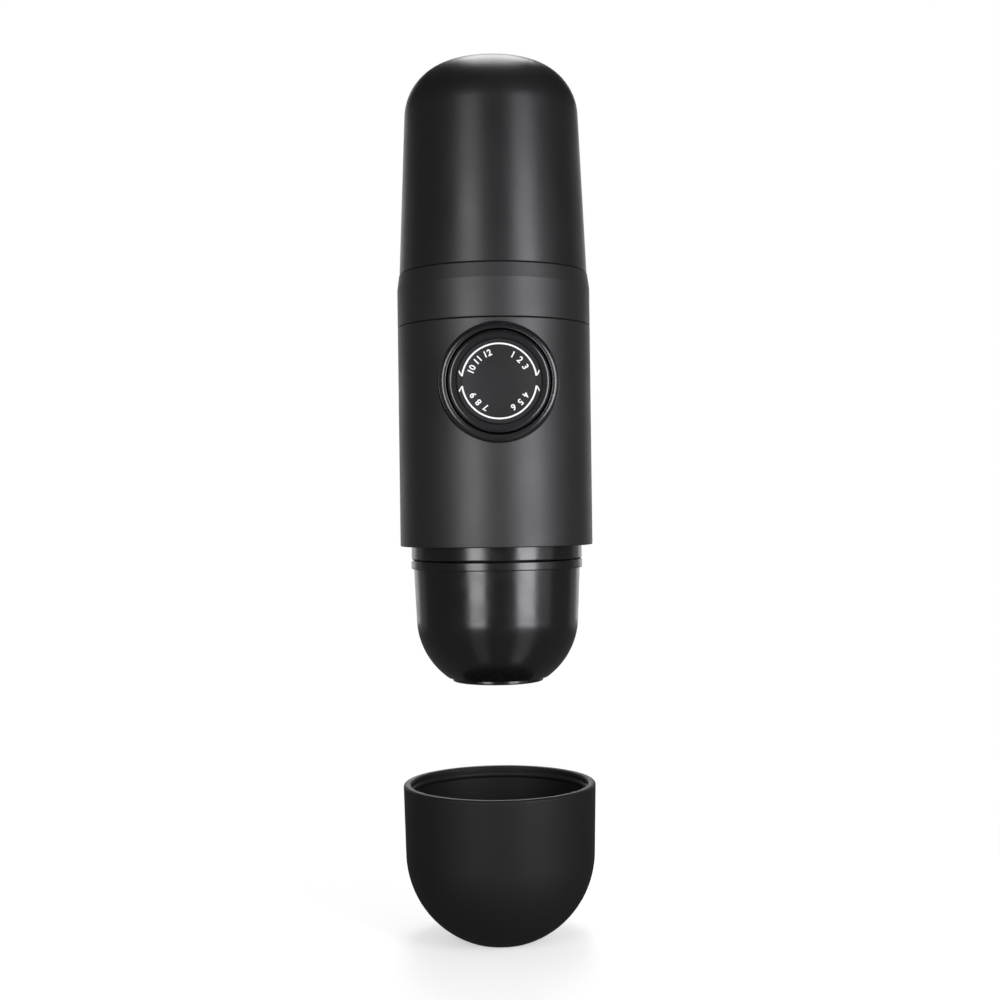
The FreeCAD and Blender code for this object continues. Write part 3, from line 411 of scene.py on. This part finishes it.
def add_mesh_object(name, points, faces, smooth):
    """A new object whose mesh has those faces between points in millimetres."""
    mesh = bpy.data.meshes.new(name)
    mesh.from_pydata([tuple(Vector(point) * MM) for point in points], [], faces)
    mesh.polygons.foreach_set("use_smooth", [smooth] * len(mesh.polygons))
    mesh.update()
    return add_object(name, mesh)


def new_piece(name, points, faces, finish, body):
    """A smooth piece of the maker; it rides on the body, if one is given."""
    piece = add_mesh_object(name, points, faces, smooth=True)
    dress(piece, finish)
    if body:
        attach(piece, body)
    return piece


def tube_faces(rings, size, closed=True):
    """Quads between successive rings of a swept section; closed adds a cap at each end."""
    faces = []
    for ring in range(rings - 1):
        for index in range(size):
            following = (index + 1) % size
            a, b = ring * size, (ring + 1) * size
            faces.append((a + index, a + following, b + following, b + index))
    if closed:
        faces.append(tuple(reversed(range(size))))
        faces.append(tuple(range((rings - 1) * size, rings * size)))
    return faces


def ridge_section(root, height, fade):
    """The trapezoid of a ridge as radius and rise; it points inward when height is negative."""
    foot = root - math.copysign(RIDGE_SINK, height)
    tip = root + height * fade
    return ((foot, -RIDGE_ROOT_WIDTH / 2), (tip, -RIDGE_CREST_WIDTH / 2),
            (tip, RIDGE_CREST_WIDTH / 2), (foot, RIDGE_ROOT_WIDTH / 2))


def ridge_points(root, height, span, first_angle):
    """The sections of one helical ridge from its lower to its upper end; it fades out at both."""
    bottom, top = span
    turn = (top - bottom) / THREAD_LEAD * FULL_TURN
    points = []
    for step in range(RIDGE_STEPS + 1):
        share = step / RIDGE_STEPS
        angle = first_angle + turn * share
        middle = bottom + (top - bottom) * share
        fade = min(1.0, share / RIDGE_FADE, (1 - share) / RIDGE_FADE)
        for radius, rise in ridge_section(root, height, fade):
            points.append((radius * math.cos(angle), radius * math.sin(angle), middle + rise))
    return points


def thread_ridges(name, root, height, span, phase, finish, body):
    """All ridges of a thread, standing on a cylinder of radius root."""
    points, faces = [], []
    for start in range(THREAD_STARTS):
        first = len(points)
        points += ridge_points(root, height, span, phase + FULL_TURN * start / THREAD_STARTS)
        for face in tube_faces(RIDGE_STEPS + 1, RIDGE_CORNERS):
            face = tuple(first + index for index in face)
            faces.append(tuple(reversed(face)) if height < 0 else face)
    return new_piece(name, points, faces, finish, body)


def coil_rise(share, coil, length):
    """How far along its axis the wire has come: slowly in the closed turns, evenly between them."""
    closed = CLOSED_TURNS / coil.turns
    in_ends = (min(share, closed) + max(share - 1 + closed, 0.0)) / closed
    in_middle = min(max((share - closed) / (1 - 2 * closed), 0.0), 1.0)
    end_height = coil.wire * 2 * CLOSED_TURNS
    return in_ends * end_height + in_middle * (length - 2 * end_height)


def wire_coil(name, coil, start, length, axis):
    """A compression spring with closed ends: the coil lies close at both ends and opens between them."""
    steps = round(coil.turns * COIL_STEPS)
    across, aside = (UP, RIGHT) if axis.y else (RIGHT, BACK)
    points = []
    for step in range(steps + 1):
        share = step / steps
        turned = FULL_TURN * coil.turns * share
        radial = across * math.cos(turned) + aside * math.sin(turned)
        centre = start + axis * coil_rise(share, coil, length) + radial * coil.radius
        for index in range(WIRE_SIDES):
            angle = FULL_TURN * index / WIRE_SIDES
            points.append(centre + (radial * math.cos(angle) + axis * math.sin(angle)) * coil.wire)
    return new_piece(name, points, tube_faces(steps + 1, WIRE_SIDES), "spring_wire", None)


# ---- threads ---------------------------------------------------------------------------------------------

def make_threads():
    """Both halves of the two screwed joints, with their ridges in each other's gaps."""
    half_pitch = FULL_TURN / THREAD_STARTS / 2
    thread_ridges("neck_thread", TANK_NECK_RADIUS, OUTER_RIDGE, TANK_THREAD_SPAN, 0.0,
                  "inner_plastic", "main")
    thread_ridges("tank_thread", TANK_BORE_RADIUS, -INNER_RIDGE, TANK_THREAD_SPAN, half_pitch,
                  "tank_black", "tank")
    thread_ridges("head_thread", HEAD_NECK_RADIUS, OUTER_RIDGE, HEAD_NECK_SPAN, 0.0,
                  "gloss_black", "head")
    thread_ridges("socket_thread", SOCKET_BORE_RADIUS, -INNER_RIDGE, SOCKET_SPAN, half_pitch,
                  "gloss_black", "main")


# ---- springs ---------------------------------------------------------------------------------------------

def make_pump_spring():
    """The return spring, drawn out between the knob and the pump body."""
    low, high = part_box("return_spring")
    front = Vector((0, low.y / MM + PUMP_COIL.wire, PUMP_HEIGHT))
    length = (high.y - low.y) / MM - 2 * PUMP_COIL.wire
    spring = wire_coil("pump_spring", PUMP_COIL, front, length, BACK)
    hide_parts("return_spring")
    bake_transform(spring)


def make_valve_spring(name, node):
    """A spring under a valve's ball, standing in its column."""
    low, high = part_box(node)
    middle = (low + high) / 2
    bottom = Vector((0, middle.y / MM, low.z / MM + VALVE_COIL.wire))
    length = (high.z - low.z) / MM - 2 * VALVE_COIL.wire
    spring = wire_coil(name, VALVE_COIL, bottom, length, UP)
    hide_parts(node)
    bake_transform(spring)


def make_springs():
    """The springs that change length, in place of the plainer coils of the CAD model."""
    make_pump_spring()
    make_valve_spring("inlet_valve_spring", "inlet_spring")
    make_valve_spring("outlet_valve_spring", "outlet_spring")


# ---- print on the knob -----------------------------------------------------------------------------------

def on_knob(radius, angle):
    """The place on the knob's face at that angle, counted clockwise from the top as the thumb sees it."""
    return Vector((radius * math.sin(angle), 0.0, PUMP_HEIGHT + radius * math.cos(angle)))


def lay_on_face(piece):
    """Press a flat print onto the dished face of the knob, a hair proud of it."""
    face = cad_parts["knob_face"]
    lift = PRINT_LIFT * MM
    for vertex in piece.data.vertices:
        start = Vector((vertex.co.x, BEFORE_KNOB * MM, vertex.co.z))
        hit, place, _, _ = face.ray_cast(start, BACK)
        if hit:
            vertex.co.y += place.y - lift
    piece.data.update()


def arrow_barb(tip, way):
    """The corners of a barb outside an arc's end; way is 1 or -1, from the tip along the arc."""
    foot = PRINT_RADIUS + PRINT_STROKE / 2
    top = foot + BARB_HEIGHT
    return [on_knob(foot, tip), on_knob(foot, tip + way * BARB_WIDTH),
            on_knob(top, tip + way * BARB_ANGLE), on_knob(top, tip + way * (BARB_ANGLE - BARB_WIDTH))]


def printed_arc(name, start, end):
    """An arc of the ring, with one barb of an arrow point outside each end."""
    inner, outer = PRINT_RADIUS - PRINT_STROKE / 2, PRINT_RADIUS + PRINT_STROKE / 2
    points, faces = [], []
    for step in range(PRINT_STEPS + 1):
        angle = start + (end - start) * step / PRINT_STEPS
        points += [on_knob(inner, angle), on_knob(outer, angle)]
    for step in range(PRINT_STEPS):
        a = 2 * step
        faces.append((a, a + 1, a + 3, a + 2))
    for tip, way in ((start, 1), (end, -1)):
        first = len(points)
        points += arrow_barb(tip, way)
        corners = (first, first + 3, first + 2, first + 1)
        faces.append(corners if way > 0 else tuple(reversed(corners)))
    piece = new_piece(name, points, faces, "white_ink", None)
    lay_on_face(piece)
    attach(piece, "knob")


def number_mesh(text):
    """A numeral as a flat mesh about the origin, facing up."""
    curve = bpy.data.curves.new("number", "FONT")
    curve.body = text
    curve.align_x = "CENTER"
    curve.align_y = "CENTER"
    curve.size = NUMBER_HEIGHT * MM * FONT_SIZE_PER_HEIGHT
    curve.offset = NUMBER_SWELL * MM
    curve.resolution_u = 6
    source = add_object("number", curve)
    bpy.context.view_layer.update()
    mesh = bpy.data.meshes.new_from_object(source)
    bpy.data.objects.remove(source)
    return mesh


def printed_number(text, angle):
    """A numeral whose top points outward, centred on the print's number circle."""
    mesh = number_mesh(text)
    upright = Matrix.Rotation(math.pi / 2, 4, "X")
    turned = Matrix.Rotation(angle, 4, "Y")
    centre = on_knob(NUMBER_RADIUS, angle) * MM
    mesh.transform(Matrix.Translation(centre) @ turned @ upright)
    piece = add_object(f"print_number_{text}", mesh)
    dress(piece, "white_ink")
    lay_on_face(piece)
    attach(piece, "knob")


def make_knob_print():
    """Two arcs with arrow points that meet at the sides, and plain numbers from 1 to 12 in four groups."""
    right, left = math.radians(90), math.radians(270)
    printed_arc("print_arc_lower", right + PRINT_GAP, left - PRINT_GAP)
    printed_arc("print_arc_upper", left + PRINT_GAP, right + FULL_TURN - PRINT_GAP)
    for number in range(1, 13):
        text = str(number)
        group, place = divmod(number - 1, 3)
        step = NUMBER_STEP if len(text) == 1 else WIDE_NUMBER_STEP
        printed_number(text, math.radians(45 + 90 * group) + (place - 1) * step)


# ---- studio ----------------------------------------------------------------------------------------------

def seen_rays(tree):
    """1 for what the camera sees directly, in a reflection or through glass, and 0 for light on surfaces."""
    path = tree.nodes.new("ShaderNodeLightPath")
    seen = path.outputs["Is Camera Ray"]
    for name in ("Is Glossy Ray", "Is Transmission Ray"):
        either = tree.nodes.new("ShaderNodeMath")
        either.operation = "MAXIMUM"
        tree.links.new(seen, either.inputs[0])
        tree.links.new(path.outputs[name], either.inputs[1])
        seen = either.outputs["Value"]
    return seen


def make_world():
    """White where it is seen, and a dim even light on surfaces."""
    world = bpy.data.worlds.new("studio")
    bpy.context.scene.world = world
    world.use_nodes = True
    tree = world.node_tree
    light = tree.nodes["Background"]
    light.inputs["Color"].default_value = even(AMBIENT)
    seen = tree.nodes.new("ShaderNodeBackground")
    seen.inputs["Color"].default_value = even(1.0)
    mix = tree.nodes.new("ShaderNodeMixShader")
    tree.links.new(seen_rays(tree), mix.inputs["Fac"])
    tree.links.new(light.outputs["Background"], mix.inputs[1])
    tree.links.new(seen.outputs["Background"], mix.inputs[2])
    tree.links.new(mix.outputs["Shader"], tree.nodes["World Output"].inputs["Surface"])


def stage_object(name, points, faces):
    """A flat-faced object of the studio, which is no part of the maker."""
    obj = add_mesh_object(name, points, faces, smooth=False)
    return obj


def make_floor():
    """Pale floor that keeps the object's shadow and fades into the background's white where it is seen."""
    corners = [(x * FLOOR_REACH, y * FLOOR_REACH, 0) for x, y in ((-1, -1), (1, -1), (1, 1), (-1, 1))]
    floor = stage_object("floor", corners, [(0, 1, 2, 3)])
    finish = Finish("pale_floor")
    speck = finish.spread(finish.noise(30.0, detail=3.0), 0.0, 1.0)
    finish.set(
        Base_Color=finish.blend(speck, even(FLOOR_GREY), even(FLOOR_GREY * 0.98)),
        Roughness=0.9,
        Specular_IOR_Level=0.1,
    )
    seen = seen_rays(finish.tree)
    near = finish.add("ShaderNodeAddShader")
    finish.feed(near.inputs[0], finish.shader.outputs["BSDF"])
    finish.feed(near.inputs[1], finish.glow(finish.product(seen, FLOOR_GLOW)))
    away = finish.add("ShaderNodeVectorMath", {0: finish.place}, operation="LENGTH").outputs["Value"]
    fade = finish.ramp(away, 0.0, 1.0, FLOOR_NEAR * MM, FLOOR_FAR * MM)
    whole = finish.add("ShaderNodeMixShader", {"Fac": finish.product(seen, fade)})
    finish.feed(whole.inputs[1], near.outputs["Shader"])
    finish.feed(whole.inputs[2], finish.glow(1.0))
    finish.show(whole.outputs["Shader"])
    floor.data.materials.append(finish.material)
    floor.visible_glossy = False


def show_in_reflections(obj, grey, grey_above=0.0):
    """Give an object a glow that only reflections see, as a painted reflection, which changes with height
    over the object.
    """
    finish = Finish(f"{obj.name}_glow")
    height = finish.add("ShaderNodeSeparateXYZ", {"Vector": finish.place}).outputs["Z"]
    finish.show(finish.glow(finish.ramp(height, grey, grey_above, CEILING_START * MM, CEILING_END * MM)))
    obj.data.materials.append(finish.material)
    obj.visible_camera = False
    obj.visible_diffuse = False
    obj.visible_shadow = False
    obj.visible_transmission = False


def round_the_axis(azimuth, distance, height):
    """A place at that distance from the object's axis; azimuth counts from the camera's side to the right."""
    turn = math.radians(azimuth)
    return Vector((distance * math.sin(turn), -distance * math.cos(turn), height))


def make_room():
    """A painted reflection of dim surroundings: a glowing dome that only reflections see, left open behind
    the object.
    """
    points, faces = [], []
    for row in range(ROOM_ROWS + 1):
        tilt = math.pi * (row / ROOM_ROWS - 0.5)
        distance = ROOM_RADIUS * math.cos(tilt)
        height = ROOM_HEIGHT + ROOM_RADIUS * math.sin(tilt)
        for column in range(ROOM_COLUMNS):
            points.append(round_the_axis(360 * column / ROOM_COLUMNS, distance, height))
    for face in tube_faces(ROOM_ROWS + 1, ROOM_COLUMNS, closed=False):
        middle = sum((points[index] for index in face), Vector()) / len(face)
        if middle.y < ROOM_RADIUS * ROOM_OPENING or middle.z < 0:
            faces.append(face)
    # a painted reflection: the dome glows grey only for reflections, darker towards its top
    show_in_reflections(stage_object("painted_reflection_room", points, faces), ROOM_REFLECTION_GREY, CEILING_REFLECTION_GREY)


def floor_streak(name, azimuth, spread, grey):
    """A painted reflection: a strip glowing just under the floor, which only reflections see, standing in for
    the streak that a soft box would draw on the table towards the object.
    """
    reach = ((PAINTED_STREAK_NEAR, -spread), (PAINTED_STREAK_FAR, -spread), (PAINTED_STREAK_FAR, spread), (PAINTED_STREAK_NEAR, spread))
    corners = [round_the_axis(azimuth + side, radius, -PAINTED_STREAK_DEPTH) for radius, side in reach]
    show_in_reflections(stage_object(name, corners, [(0, 1, 2, 3)]), grey)


def soft_box(name, place, target, width, height, radiance, tint=NO_TINT):
    """A rectangular soft box at place, turned to face target and unseen by the camera."""
    light = bpy.data.lights.new(name, "AREA")
    light.shape = "RECTANGLE"
    light.size = width * MM
    light.size_y = height * MM
    light.energy = radiance * math.pi * light.size * light.size_y
    light.color = tint
    lamp = add_object(name, light)
    lamp.location = place * MM
    lamp.rotation_mode = "QUATERNION"
    lamp.rotation_quaternion = (target - place).to_track_quat("-Z", "Y")
    lamp.visible_camera = False


def upright_soft_box(name, azimuth, width, radiance, bottom=BOX_BOTTOM, top=BOX_TOP, tint=NO_TINT):
    """A soft box that faces the object's axis."""
    place = round_the_axis(azimuth, BOX_DISTANCE, (bottom + top) / 2)
    soft_box(name, place, Vector((0, 0, place.z)), width, top - bottom, radiance, tint)


def make_studio():
    """World, floor and soft boxes, with painted reflections: a dim glowing dome, and two glowing strips under
    the floor for the streaks that the two main soft boxes would draw on it.
    """
    make_world()
    make_floor()
    make_room()
    upright_soft_box("left_soft_box", LEFT_AZIMUTH, width=185, radiance=5.5)
    upright_soft_box("right_soft_box", RIGHT_AZIMUTH, width=220, radiance=6.9, tint=RIGHT_TINT)
    # painted reflections: strips that glow under the floor where each main soft box would light the table
    floor_streak("left_painted_reflection", LEFT_AZIMUTH, spread=10, grey=0.33)
    floor_streak("right_painted_reflection", RIGHT_AZIMUTH, spread=12, grey=0.52)
    upright_soft_box("right_fill", FILL_AZIMUTH, width=260, radiance=0.55)
    upright_soft_box("left_rim_fill", -RIM_AZIMUTH, width=280, radiance=0.17)
    upright_soft_box("right_rim_fill", RIM_AZIMUTH, width=280, radiance=0.22)
    upright_soft_box("back_soft_box", BACK_AZIMUTH, width=150, radiance=2.8,
                     bottom=BACK_BOX_BOTTOM, top=BACK_BOX_TOP)
    soft_box("top_soft_box", TOP_BOX_PLACE, TOP_BOX_TARGET, width=220, height=364, radiance=5.6)


def make_camera():
    """Level camera on the photograph's side, rolled as it was."""
    camera = bpy.data.cameras.new("camera")
    camera.sensor_width = SENSOR
    camera.lens = SENSOR * CAMERA_DISTANCE * PIXELS_PER_MM / IMAGE_SIZE
    camera.clip_start, camera.clip_end = 0.01, 20.0
    obj = add_object("camera", camera)
    bpy.context.scene.camera = obj
    back = Vector((math.sin(CAMERA_AZIMUTH), -math.cos(CAMERA_AZIMUTH), 0))
    right = Vector((math.cos(CAMERA_AZIMUTH), math.sin(CAMERA_AZIMUTH), 0))
    aim = right * AIM_RIGHT + Vector((0, 0, CAMERA_HEIGHT))
    obj.location = (aim + back * CAMERA_DISTANCE) * MM
    facing = (-back).to_track_quat("-Z", "Y").to_matrix().to_4x4()
    obj.rotation_mode = "QUATERNION"
    obj.rotation_quaternion = (facing @ Matrix.Rotation(CAMERA_ROLL, 4, "Z")).to_quaternion()


# ---- whole scene -----------------------------------------------------------------------------------------


bpy.context.scene.view_settings.view_transform = "Standard"
dress_nodes()
make_threads()
make_springs()
make_knob_print()
make_studio()
make_camera()
